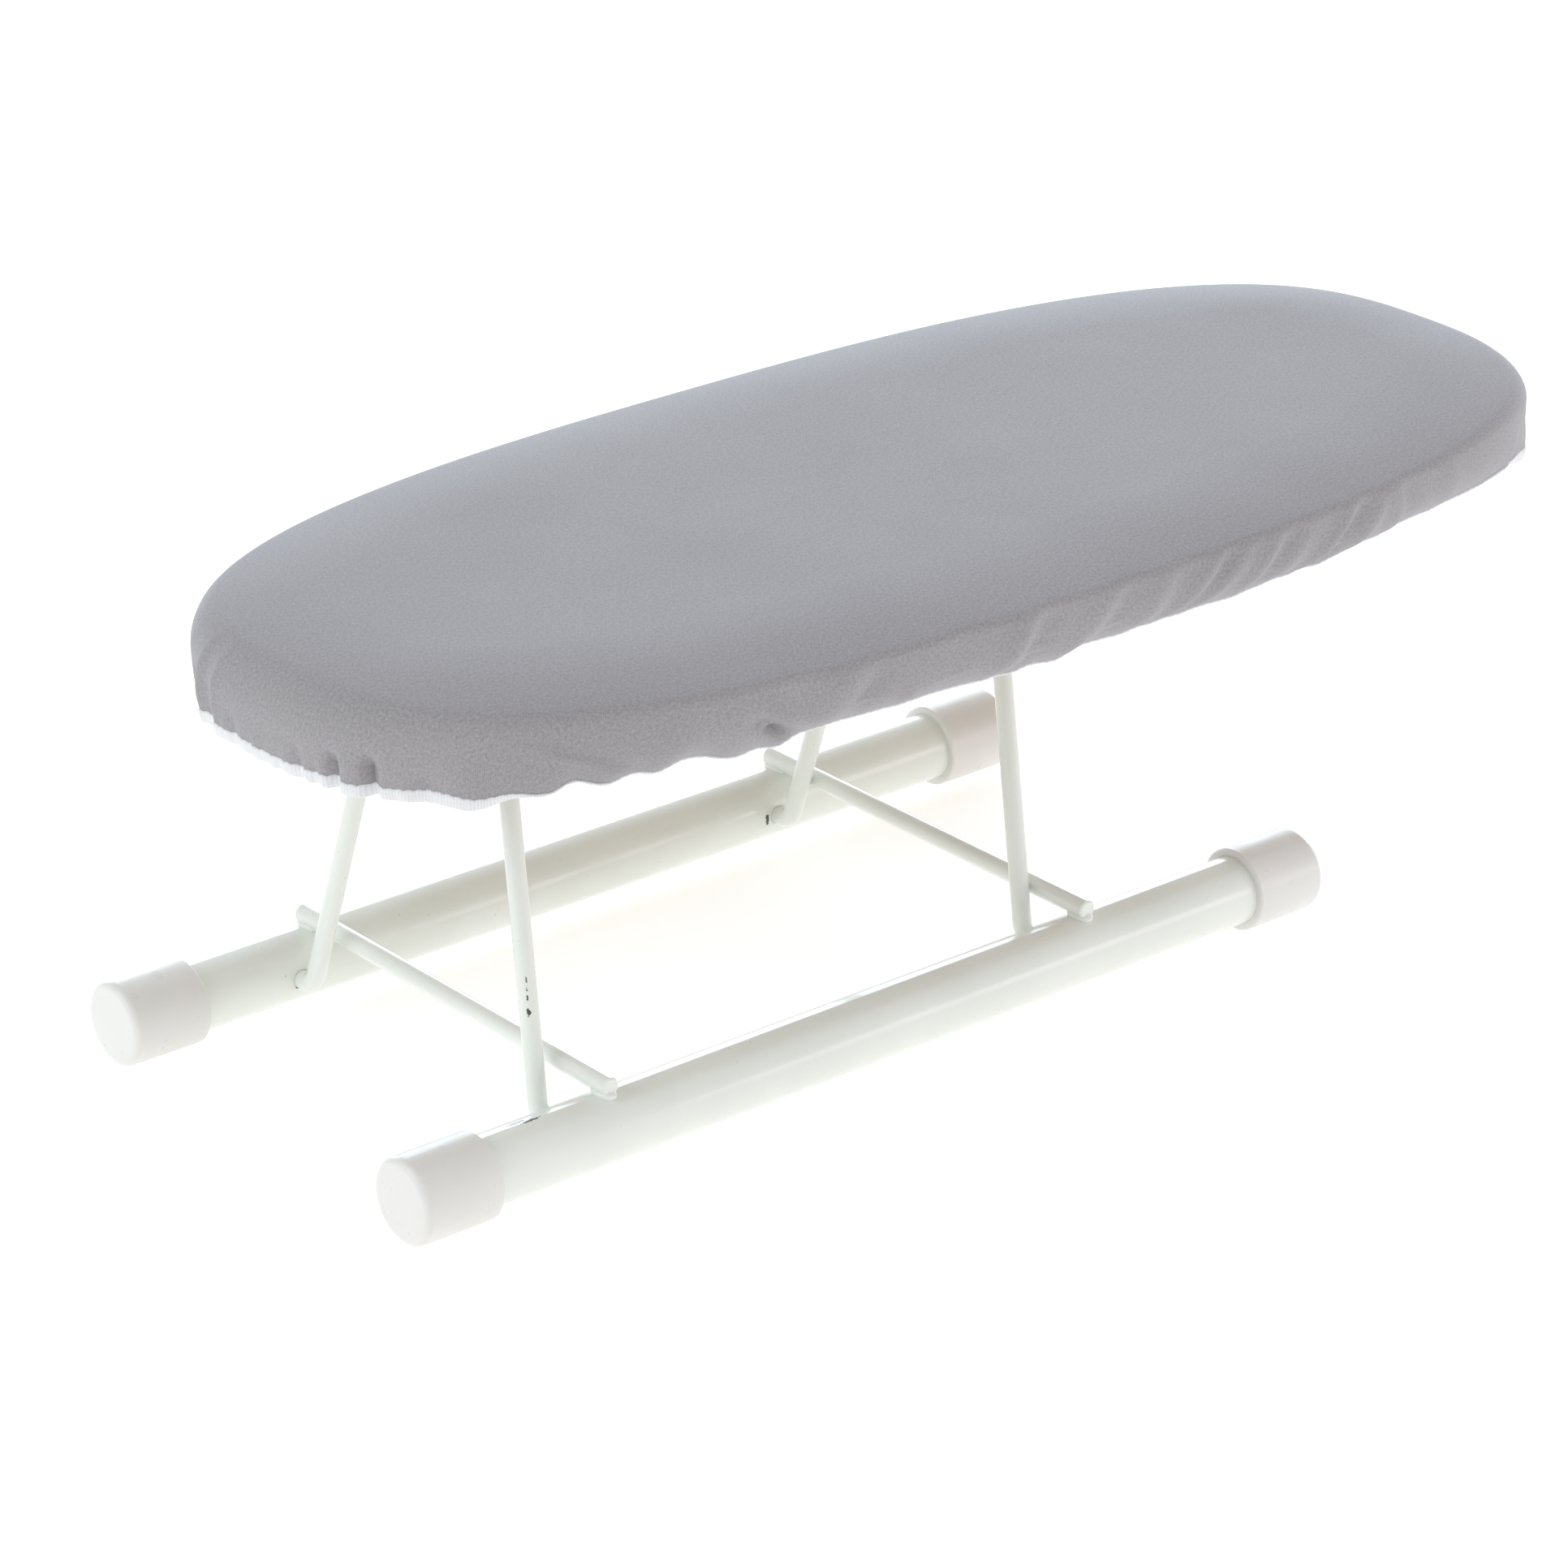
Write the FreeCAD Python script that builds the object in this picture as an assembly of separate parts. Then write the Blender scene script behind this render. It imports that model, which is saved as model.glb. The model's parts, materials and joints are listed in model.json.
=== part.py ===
import FreeCAD, Part
import math
import os

# Tabletop ironing board on a folding wire stand, in millimetres.
# +Z is up and the board's long axis is X, with its free end towards +X.
# The origin is on the table, under the middle of the whole object.
# Right is -Y and left is +Y, for a person at the back end who looks along +X.

# Rails and end caps
rail_diameter = 22.0
rail_wall = 1.2
rail_overall_length = 350.0
rail_spacing = 147.0
cap_diameter = 26.8
cap_length = 27.0
cap_end_wall = 2.5
cap_edge_radius = 2.5
cap_rim_chamfer = 0.5

# Wires: all are the same rod
wire_diameter = 6.0
wire_end_chamfer = 0.5
cross_wire_length = 154.0
weld_radius = 5.2
weld_lift = 0.5

# Legs: each is a U of wire whose feet turn out into the rails
back_leg_from_rail_middle = -113.0
front_leg_from_rail_middle = 75.0
back_wire_from_foot = 10.8
front_wire_from_foot = 8.0
leg_lean = 5.7
leg_foot_half_width = 56.5
leg_top_half_width = 27.0
leg_foot_end = 70.0
foot_bend_radius = 6.0
top_bend_radius = 8.0
foot_hole_clearance = 0.08

# Board: the deck, its pad and its cover, from the bottom up
board_half_length = 237.0
board_half_width = 105.5
board_from_rail_middle = 69.5
board_top = 149.0
outline_power = 2.7
outline_points = 64
deck_thickness = 9.0
deck_bottom_edge = 1.0
deck_top_edge = 4.0
pad_thickness = 4.0
pad_beside_deck = 2.5
pad_wrap = 7.0
pad_edge_radius = 7.9
cover_thickness = 1.0
cover_edge_radius = 9.0
side_gap = 0.3
skirt_drop = 9.0
skirt_tuck_at_ends = 1.0
skirt_tuck_at_sides = 12.0
hem_height = 3.6
hem_thickness = 1.4

# Saddles, which hold the tops of the legs to the deck
wire_to_deck_gap = 0.3
saddle_sheet = 1.2
saddle_width = 10.0
saddle_half_length = 15.0
saddle_spacing = 26.0
back_saddle_clearance = 0.08
front_saddle_clearance = 0.40
screw_from_wire = 10.0
screw_hole_radius = 1.8
screw_shank_radius = 1.6
screw_pilot_radius = 1.7
screw_pilot_depth = 7.0
screw_tip_gap = 0.5
screw_head_radius = 3.5
screw_head_height = 2.0
screw_head_edge = 0.8
screw_slot_width = 0.9
screw_slot_depth = 0.8

# Worked out from the sizes above
rail_radius = rail_diameter / 2
wire_radius = wire_diameter / 2
cap_radius = cap_diameter / 2
axis_height = cap_radius
board_front = board_from_rail_middle + board_half_length
rail_middle_x = -(board_front - rail_overall_length / 2) / 2
board_x = rail_middle_x + board_from_rail_middle
deck_top = board_top - cover_thickness - pad_thickness
deck_bottom = deck_top - deck_thickness
leg_top_height = deck_bottom - wire_to_deck_gap - wire_radius
leg_length = (leg_top_height - axis_height) / math.cos(math.radians(leg_lean))
leg_shift = leg_length * math.sin(math.radians(leg_lean))
skirt_bottom = deck_bottom - skirt_drop
pad_inset = cover_thickness + side_gap
deck_inset = pad_inset + pad_beside_deck
same_place = 1e-3

foot_x = {
    "back": rail_middle_x + back_leg_from_rail_middle,
    "front": rail_middle_x + front_leg_from_rail_middle,
}
cross_wire_x = {
    "back": foot_x["back"] + back_wire_from_foot,
    "front": foot_x["front"] + front_wire_from_foot,
}
side_sign = {"right": -1, "left": 1}
saddle_clearance = {"back": back_saddle_clearance, "front": front_saddle_clearance}

X = FreeCAD.Vector(1, 0, 0)
Y = FreeCAD.Vector(0, 1, 0)
Z = FreeCAD.Vector(0, 0, 1)


def vec(x, y, z):
    return FreeCAD.Vector(x, y, z)


# Base

def make_rail(side):
    """A tube with a hole for each leg's foot in the wall that faces the other rail."""
    y = side_sign[side] * rail_spacing / 2
    length = rail_overall_length - 2 * cap_end_wall
    start = vec(rail_middle_x - length / 2, y, axis_height)
    rail = Part.makeCylinder(rail_radius, length, start, X)
    rail = rail.cut(Part.makeCylinder(rail_radius - rail_wall, length, start, X))
    for x in foot_x.values():
        drill = Part.makeCylinder(
            wire_radius + foot_hole_clearance, rail_radius + 1, vec(x, y, axis_height), Y * -side_sign[side])
        rail = rail.cut(drill)
    return rail


def make_cap(end, side):
    """A cup with a rounded closed end, pushed over the end of a rail."""
    outward = -1 if end == "back" else 1
    y = side_sign[side] * rail_spacing / 2
    tip = vec(rail_middle_x + outward * rail_overall_length / 2, y, axis_height)
    inward = X * -outward
    cap = Part.makeCylinder(cap_radius, cap_length, tip, inward)
    closed_edge = [e for e in cap.Edges if is_circle_at(e, tip.x)]
    cap = cap.makeFillet(cap_edge_radius, closed_edge)
    socket_start = tip + inward * cap_end_wall
    cap = cap.cut(Part.makeCylinder(rail_radius, cap_length, socket_start, inward))
    rim_x = (tip + inward * cap_length).x
    rim = [e for e in cap.Edges if is_circle_at(e, rim_x) and e.Curve.Radius > rail_radius + same_place]
    return cap.makeChamfer(cap_rim_chamfer, rim)


def is_circle_at(edge, x):
    box = edge.BoundBox
    flat = box.XLength < same_place and abs(box.XMin - x) < same_place
    return flat and isinstance(edge.Curve, Part.Circle)


def make_cross_wire(end):
    x = cross_wire_x[end]
    z = axis_height + rail_radius + wire_radius
    wire = Part.makeCylinder(wire_radius, cross_wire_length, vec(x, -cross_wire_length / 2, z), Y)
    ends = [e for e in wire.Edges if isinstance(e.Curve, Part.Circle)]
    return wire.makeChamfer(wire_end_chamfer, ends)


def make_welds():
    """The bead at each crossing fills the corner between the wire and the rail."""
    beads = []
    for x in cross_wire_x.values():
        for sign in side_sign.values():
            y = sign * rail_spacing / 2
            top = axis_height + rail_radius
            bead = Part.makeSphere(weld_radius, vec(x, y, top + weld_lift))
            rail = Part.makeCylinder(rail_radius, 4 * weld_radius, vec(x - 2 * weld_radius, y, axis_height), X)
            wire = Part.makeCylinder(wire_radius, 4 * weld_radius, vec(x, y - 2 * weld_radius, top + wire_radius), Y)
            bead = bead.cut(rail).cut(wire)
            beads.append(max(bead.Solids, key=lambda solid: solid.Volume))
    return Part.makeCompound(beads)


# Legs

def rounded_path(points, radii):
    """Straight runs joined by arcs that are tangent to them, in the order of the points."""
    edges = []
    start = points[0]
    for i in range(1, len(points) - 1):
        corner = points[i]
        before = (points[i - 1] - corner).normalize()
        after = (points[i + 1] - corner).normalize()
        half_angle = before.getAngle(after) / 2
        reach = radii[i - 1] / math.tan(half_angle)
        arc_start = corner + before * reach
        arc_end = corner + after * reach
        bisector = (before + after).normalize()
        middle = corner + bisector * (radii[i - 1] / math.sin(half_angle) - radii[i - 1])
        edges.append(Part.LineSegment(start, arc_start).toShape())
        edges.append(Part.Arc(arc_start, middle, arc_end).toShape())
        start = arc_end
    edges.append(Part.LineSegment(start, points[-1]).toShape())
    return Part.Wire(edges)


def make_leg(end):
    """One bent wire, drawn upright in the YZ plane and then leant towards the free end."""
    half = [
        vec(0, leg_foot_end, 0),
        vec(0, leg_foot_half_width, 0),
        vec(0, leg_top_half_width, leg_length),
    ]
    mirrored = [vec(0, -p.y, p.z) for p in reversed(half)]
    radii = [foot_bend_radius, top_bend_radius, top_bend_radius, foot_bend_radius]
    path = rounded_path(half + mirrored, radii)
    section = Part.Wire([Part.makeCircle(wire_radius, half[0], Y)])
    leg = path.makePipeShell([section], True, False)
    leg.rotate(vec(0, 0, 0), Y, leg_lean)
    leg.translate(vec(foot_x[end], 0, axis_height))
    return leg


# Board

def outline_wire(z, end_inset=0.0, side_inset=0.0):
    """The board's egg-like outline: a superellipse, drawn in by the two insets."""
    a = board_half_length - end_inset
    b = board_half_width - side_inset
    points = []
    for i in range(outline_points):
        angle = 2 * math.pi * (i + 0.5) / outline_points
        c = math.cos(angle)
        s = math.sin(angle)
        x = a * math.copysign(abs(c) ** (2 / outline_power), c)
        y = b * math.copysign(abs(s) ** (2 / outline_power), s)
        points.append(vec(board_x + x, y, z))
    curve = Part.BSplineCurve()
    curve.interpolate(points, PeriodicFlag=True)
    return Part.Wire([curve.toShape()])


def outline_slab(bottom, top, inset=0.0):
    face = Part.Face(outline_wire(bottom, inset, inset))
    return face.extrude(vec(0, 0, top - bottom))


def edges_at(shape, z):
    found = []
    for edge in shape.Edges:
        box = edge.BoundBox
        if abs(box.ZMin - z) < same_place and abs(box.ZMax - z) < same_place:
            found.append(edge)
    return found


def saddle_places():
    """Each saddle's end, side, X of the leg's top wire, and Y of its middle."""
    places = []
    for end, x in foot_x.items():
        for side, sign in side_sign.items():
            places.append((end, side, x + leg_shift, sign * saddle_spacing / 2))
    return places


def screw_places():
    places = []
    for end, side, x, y in saddle_places():
        places.append((x - screw_from_wire, y))
        places.append((x + screw_from_wire, y))
    return places


def deck_body():
    """The deck before its holes are drilled."""
    deck = outline_slab(deck_bottom, deck_top, deck_inset)
    deck = deck.makeFillet(deck_top_edge, edges_at(deck, deck_top))
    return deck.makeFillet(deck_bottom_edge, edges_at(deck, deck_bottom))


def make_deck():
    deck = deck_body()
    for x, y in screw_places():
        deck = deck.cut(Part.makeCylinder(screw_pilot_radius, screw_pilot_depth, vec(x, y, deck_bottom), Z))
    return deck


def make_pad():
    """The pad lies on the deck and wraps part of the way down its sides."""
    pad_top = deck_top + pad_thickness
    pad = outline_slab(deck_top - pad_wrap, pad_top, pad_inset)
    pad = pad.makeFillet(pad_edge_radius, edges_at(pad, pad_top))
    return pad.cut(deck_body())


def skirt_loft(inset):
    """The part of the skirt that the elastic draws in under the deck."""
    top = outline_wire(deck_bottom, inset, inset)
    bottom = outline_wire(skirt_bottom, skirt_tuck_at_ends + inset, skirt_tuck_at_sides + inset)
    return Part.makeLoft([top, bottom], True, True)


def make_cover():
    outer = outline_slab(deck_bottom, board_top)
    outer = outer.makeFillet(cover_edge_radius, edges_at(outer, board_top))
    inner_top = board_top - cover_thickness
    inner = outline_slab(deck_bottom, inner_top, cover_thickness)
    inner = inner.makeFillet(cover_edge_radius - cover_thickness, edges_at(inner, inner_top))
    outer = outer.fuse(skirt_loft(0.0))
    inner = inner.fuse(skirt_loft(cover_thickness))
    return outer.cut(inner)


def make_hem():
    bottom = skirt_bottom - hem_height
    outer = Part.Face(outline_wire(bottom, skirt_tuck_at_ends, skirt_tuck_at_sides))
    inner = Part.Face(outline_wire(
        bottom, skirt_tuck_at_ends + hem_thickness, skirt_tuck_at_sides + hem_thickness))
    height = vec(0, 0, hem_height)
    return outer.extrude(height).cut(inner.extrude(height))


def make_saddle(end, x, y):
    """A strip of sheet bent round the wire, with a flange on each side against the deck."""
    y_start = y - saddle_width / 2
    inner_radius = wire_radius + saddle_clearance[end]
    outer_radius = inner_radius + saddle_sheet
    rise = deck_bottom - leg_top_height
    flange = Part.makeBox(
        2 * saddle_half_length, saddle_width, saddle_sheet,
        vec(x - saddle_half_length, y_start, deck_bottom - saddle_sheet))
    walls = Part.makeBox(2 * outer_radius, saddle_width, rise, vec(x - outer_radius, y_start, leg_top_height))
    bend = Part.makeCylinder(outer_radius, saddle_width, vec(x, y_start, leg_top_height), Y)
    upper_half = Part.makeBox(
        2 * outer_radius, saddle_width, outer_radius, vec(x - outer_radius, y_start, leg_top_height))
    saddle = flange.fuse(walls).fuse(bend.cut(upper_half))
    channel = Part.makeBox(2 * inner_radius, saddle_width, rise, vec(x - inner_radius, y_start, leg_top_height))
    seat = Part.makeCylinder(inner_radius, saddle_width, vec(x, y_start, leg_top_height), Y)
    saddle = saddle.cut(channel).cut(seat)
    for offset in (-screw_from_wire, screw_from_wire):
        hole = Part.makeCylinder(screw_hole_radius, saddle_sheet, vec(x + offset, y, deck_bottom - saddle_sheet), Z)
        saddle = saddle.cut(hole)
    return saddle.removeSplitter()


def make_screws():
    screws = []
    for x, y in screw_places():
        seat = deck_bottom - saddle_sheet
        bottom = seat - screw_head_height
        head = Part.makeCylinder(screw_head_radius, screw_head_height, vec(x, y, bottom), Z)
        head = head.makeFillet(screw_head_edge, edges_at(head, bottom))
        slot = Part.makeBox(
            2 * screw_head_radius, screw_slot_width, screw_slot_depth,
            vec(x - screw_head_radius, y - screw_slot_width / 2, bottom))
        shank_length = saddle_sheet + screw_pilot_depth - screw_tip_gap
        shank = Part.makeCylinder(screw_shank_radius, shank_length, vec(x, y, seat), Z)
        screws.append(head.cut(slot).fuse(shank))
    return Part.makeCompound(screws)


# Every piece by the name of its file

def build():
    pieces = {}
    for side in side_sign:
        pieces[side + "_rail"] = make_rail(side)
    for end in foot_x:
        for side in side_sign:
            pieces[end + "_" + side + "_cap"] = make_cap(end, side)
        pieces[end + "_cross_wire"] = make_cross_wire(end)
        pieces[end + "_leg"] = make_leg(end)
    pieces["cross_wire_welds"] = make_welds()
    pieces["deck"] = make_deck()
    for end, side, x, y in saddle_places():
        pieces[end + "_" + side + "_saddle"] = make_saddle(end, x, y)
    pieces["saddle_screws"] = make_screws()
    pieces["felt_pad"] = make_pad()
    pieces["cover"] = make_cover()
    pieces["hem_elastic"] = make_hem()
    return pieces


os.makedirs("parts", exist_ok=True)
for name, shape in build().items():
    shape.exportStep("parts/" + name + ".step")
    box = shape.optimalBoundingBox()
    print(name, "valid", shape.isValid(), "solids", len(shape.Solids), "volume", round(shape.Volume),
          "x", round(box.XMin, 2), round(box.XMax, 2), "y", round(box.YMin, 2), round(box.YMax, 2),
          "z", round(box.ZMin, 2), round(box.ZMax, 2))
print("rail middle x", rail_middle_x, "board x", board_x)
for end, x in foot_x.items():
    print(end, "leg foot", round(x, 3), round(axis_height, 3), "top", round(x + leg_shift, 3), round(leg_top_height, 3))
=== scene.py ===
import json
import math
import random

import bpy
import numpy as np
from mathutils import Matrix, Vector, noise


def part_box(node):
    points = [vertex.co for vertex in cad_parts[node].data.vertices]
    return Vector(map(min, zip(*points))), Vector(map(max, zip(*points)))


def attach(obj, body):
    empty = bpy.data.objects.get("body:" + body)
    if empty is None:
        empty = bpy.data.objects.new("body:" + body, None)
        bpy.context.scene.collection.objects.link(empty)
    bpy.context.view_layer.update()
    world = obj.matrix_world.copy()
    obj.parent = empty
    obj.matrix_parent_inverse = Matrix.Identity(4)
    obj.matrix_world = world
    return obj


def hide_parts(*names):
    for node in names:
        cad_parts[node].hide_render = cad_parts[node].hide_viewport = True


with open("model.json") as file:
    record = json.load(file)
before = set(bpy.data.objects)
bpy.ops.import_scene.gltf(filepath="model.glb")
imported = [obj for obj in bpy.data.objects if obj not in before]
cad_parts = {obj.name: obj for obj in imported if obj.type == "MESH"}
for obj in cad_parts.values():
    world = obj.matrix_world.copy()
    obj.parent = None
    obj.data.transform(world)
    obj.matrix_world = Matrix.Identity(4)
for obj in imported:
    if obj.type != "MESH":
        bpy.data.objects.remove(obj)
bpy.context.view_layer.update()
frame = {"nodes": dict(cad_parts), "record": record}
nodes = frame["nodes"]
print("frame loaded:", len(nodes), "nodes")


# small helpers

def deselectAll():
    if bpy.context.object and bpy.context.object.mode != "OBJECT":
        bpy.ops.object.mode_set(mode="OBJECT")
    bpy.ops.object.select_all(action="DESELECT")


def activate(obj):
    deselectAll()
    obj.select_set(True)
    bpy.context.view_layer.objects.active = obj


def applyModifiers(obj):
    activate(obj)
    for modifier in list(obj.modifiers):
        bpy.ops.object.modifier_apply(modifier=modifier.name)


def smooth(obj, degrees=40):
    activate(obj)
    bpy.ops.object.shade_smooth_by_angle(angle=math.radians(degrees))


def easeBetween(low, high, value):
    t = np.clip((value - low) / (high - low), 0, 1)
    return t * t * (3 - 2 * t)


# materials: each node tree is built from the same few parts

def newMaterial(name, color, roughness):
    mat = bpy.data.materials.new(name)
    mat.use_nodes = True
    tree = mat.node_tree
    bsdf = tree.nodes["Principled BSDF"]
    bsdf.inputs["Base Color"].default_value = (*color, 1)
    bsdf.inputs["Roughness"].default_value = roughness
    return mat, tree, bsdf


def grey(level):
    return (level, level, level)


def setSockets(node, values):
    for name, value in values.items():
        node.inputs[name].default_value = value


def addNode(tree, kind, **values):
    node = tree.nodes.new(kind)
    for key, value in values.items():
        if key in node.inputs:
            node.inputs[key].default_value = value
        else:
            setattr(node, key, value)
    return node


def noiseAt(tree, vector, scale, detail=4, roughness=0.55):
    node = addNode(tree, "ShaderNodeTexNoise", Scale=scale, Detail=detail, Roughness=roughness)
    tree.links.new(vector, node.inputs["Vector"])
    return node.outputs["Fac"]


def ramp(tree, factor, stops):
    node = tree.nodes.new("ShaderNodeValToRGB")
    elements = node.color_ramp.elements
    while len(elements) < len(stops):
        elements.new(0.5)
    for element, (place, color) in zip(elements, stops):
        element.position = place
        element.color = (*color, 1) if len(color) == 3 else color
    tree.links.new(factor, node.inputs["Fac"])
    return node.outputs["Color"]


def mathNode(tree, operation, a, b):
    node = addNode(tree, "ShaderNodeMath", operation=operation)
    for socket, value in zip(node.inputs, (a, b)):
        if isinstance(value, (int, float)):
            socket.default_value = value
        else:
            tree.links.new(value, socket)
    return node.outputs[0]


def vectorNode(tree, operation, vector, by=None):
    node = addNode(tree, "ShaderNodeVectorMath", operation=operation)
    tree.links.new(vector, node.inputs[0])
    if by:
        node.inputs[1].default_value = by
    return node


def mixColors(tree, factor, a, b, blend="MIX"):
    node = addNode(tree, "ShaderNodeMix", data_type="RGBA", blend_type=blend)
    for socket, value in ((node.inputs[0], factor), (node.inputs[6], a), (node.inputs[7], b)):
        if isinstance(value, (int, float)):
            socket.default_value = value
        elif isinstance(value, tuple):
            socket.default_value = (*value, 1)
        else:
            tree.links.new(value, socket)
    return node.outputs[2]


def addBump(tree, bsdf, height, strength, distance):
    node = addNode(tree, "ShaderNodeBump", Strength=strength, Distance=distance)
    tree.links.new(height, node.inputs["Height"])
    if bsdf.inputs["Normal"].is_linked:
        tree.links.new(bsdf.inputs["Normal"].links[0].from_socket, node.inputs["Normal"])
    tree.links.new(node.outputs["Normal"], bsdf.inputs["Normal"])


def objectCoords(tree):
    return tree.nodes.new("ShaderNodeTexCoord").outputs["Object"]


# a ragged mask, white where the paint has come off
def chipMask(tree, coords, middle, reach):
    offset = vectorNode(tree, "SUBTRACT", coords, by=middle)
    scaled = vectorNode(tree, "DIVIDE", offset.outputs[0], by=reach)
    away = vectorNode(tree, "LENGTH", scaled.outputs[0])
    edge = noiseAt(tree, coords, scale=1100, detail=4, roughness=0.7)
    near = mathNode(tree, "ADD", away.outputs["Value"], mathNode(tree, "MULTIPLY", edge, 1.5))
    return ramp(tree, mathNode(tree, "MULTIPLY", near, 0.5), [(0.62, grey(1)), (0.68, grey(0))])


def makePaint(name, chips=()):
    paint = {
        "clean": (0.832, 0.866, 0.812),
        "thin": (0.802, 0.840, 0.784),
        "bare": (0.085, 0.08, 0.075),
        "glossy": 0.15,
        "dull": 0.25,
    }
    mat, tree, bsdf = newMaterial(name, paint["clean"], 0.2)
    coords = objectCoords(tree)
    blotches = noiseAt(tree, coords, scale=38, detail=5)
    color = ramp(tree, blotches, [(0.35, paint["thin"]), (0.62, paint["clean"])])
    dots = noiseAt(tree, coords, scale=520, detail=2)
    specks = ramp(tree, dots, [(0.745, grey(0)), (0.80, grey(0.30))])
    color = mixColors(tree, specks, color, paint["bare"])
    for middle, reach in chips:
        color = mixColors(tree, chipMask(tree, coords, middle, reach), color, paint["bare"])
    tree.links.new(color, bsdf.inputs["Base Color"])
    streaks = noiseAt(tree, coords, scale=85, detail=3)
    gloss = ramp(tree, streaks, [(0.3, grey(paint["glossy"])), (0.75, grey(paint["dull"]))])
    tree.links.new(gloss, bsdf.inputs["Roughness"])
    setSockets(bsdf, {"Specular IOR Level": 0.42, "Coat Weight": 0.20, "Coat Roughness": 0.06})
    orangePeel = noiseAt(tree, coords, scale=330, detail=2)
    addBump(tree, bsdf, orangePeel, strength=0.06, distance=0.0004)
    slowWaves = noiseAt(tree, coords, scale=28, detail=1)
    addBump(tree, bsdf, slowWaves, strength=0.05, distance=0.0008)
    return mat


def makeCapPlastic():
    plastic = {"fresh": (0.780, 0.778, 0.750), "aged": (0.755, 0.748, 0.715)}
    mat, tree, bsdf = newMaterial("capPlastic", plastic["fresh"], 0.34)
    coords = objectCoords(tree)
    ageing = noiseAt(tree, coords, scale=30, detail=4)
    color = ramp(tree, ageing, [(0.35, plastic["aged"]), (0.65, plastic["fresh"])])
    tree.links.new(color, bsdf.inputs["Base Color"])
    gloss = ramp(tree, noiseAt(tree, coords, scale=140, detail=4), [(0.3, grey(0.26)), (0.7, grey(0.42))])
    tree.links.new(gloss, bsdf.inputs["Roughness"])
    setSockets(bsdf, {
        "Subsurface Weight": 0.12,
        "Subsurface Radius": (0.004, 0.003, 0.002),
        "Subsurface Scale": 0.5,
    })
    addBump(tree, bsdf, noiseAt(tree, coords, scale=700, detail=3), strength=0.10, distance=0.0003)
    return mat


def makeZinc():
    mat, tree, bsdf = newMaterial("zincSteel", (0.62, 0.63, 0.64), 0.35)
    coords = objectCoords(tree)
    bsdf.inputs["Metallic"].default_value = 1.0
    spangle = addNode(tree, "ShaderNodeTexVoronoi", Scale=420)
    tree.links.new(coords, spangle.inputs["Vector"])
    color = ramp(tree, spangle.outputs["Distance"], [(0.0, (0.50, 0.51, 0.53)), (0.8, (0.68, 0.69, 0.70))])
    tree.links.new(color, bsdf.inputs["Base Color"])
    gloss = ramp(tree, noiseAt(tree, coords, scale=200, detail=4), [(0.3, grey(0.25)), (0.7, grey(0.48))])
    tree.links.new(gloss, bsdf.inputs["Roughness"])
    addBump(tree, bsdf, noiseAt(tree, coords, scale=1200, detail=3), strength=0.12, distance=0.0002)
    return mat


def makeFibreboard():
    mat, tree, bsdf = newMaterial("fibreboard", (0.36, 0.24, 0.14), 0.72)
    coords = objectCoords(tree)
    fibres = addNode(tree, "ShaderNodeMapping")
    fibres.inputs["Scale"].default_value = (60, 420, 420)
    tree.links.new(coords, fibres.inputs["Vector"])
    strands = noiseAt(tree, fibres.outputs["Vector"], scale=1.6, detail=6, roughness=0.65)
    browns = [(0.30, (0.26, 0.165, 0.09)), (0.55, (0.38, 0.26, 0.155)), (0.8, (0.50, 0.37, 0.24))]
    color = ramp(tree, strands, browns)
    stains = ramp(tree, noiseAt(tree, coords, scale=9, detail=5), [(0.45, grey(0)), (0.75, grey(0.35))])
    color = mixColors(tree, stains, color, (0.22, 0.14, 0.08))
    tree.links.new(color, bsdf.inputs["Base Color"])
    addBump(tree, bsdf, strands, strength=0.35, distance=0.0006)
    return mat


def makeFelt():
    mat, tree, bsdf = newMaterial("feltPad", (0.74, 0.73, 0.69), 0.95)
    coords = objectCoords(tree)
    fuzz = noiseAt(tree, coords, scale=900, detail=6, roughness=0.7)
    color = ramp(tree, fuzz, [(0.35, (0.62, 0.61, 0.57)), (0.65, (0.80, 0.79, 0.75))])
    tree.links.new(color, bsdf.inputs["Base Color"])
    bsdf.inputs["Sheen Weight"].default_value = 0.3
    addBump(tree, bsdf, fuzz, strength=0.6, distance=0.0012)
    return mat


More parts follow.
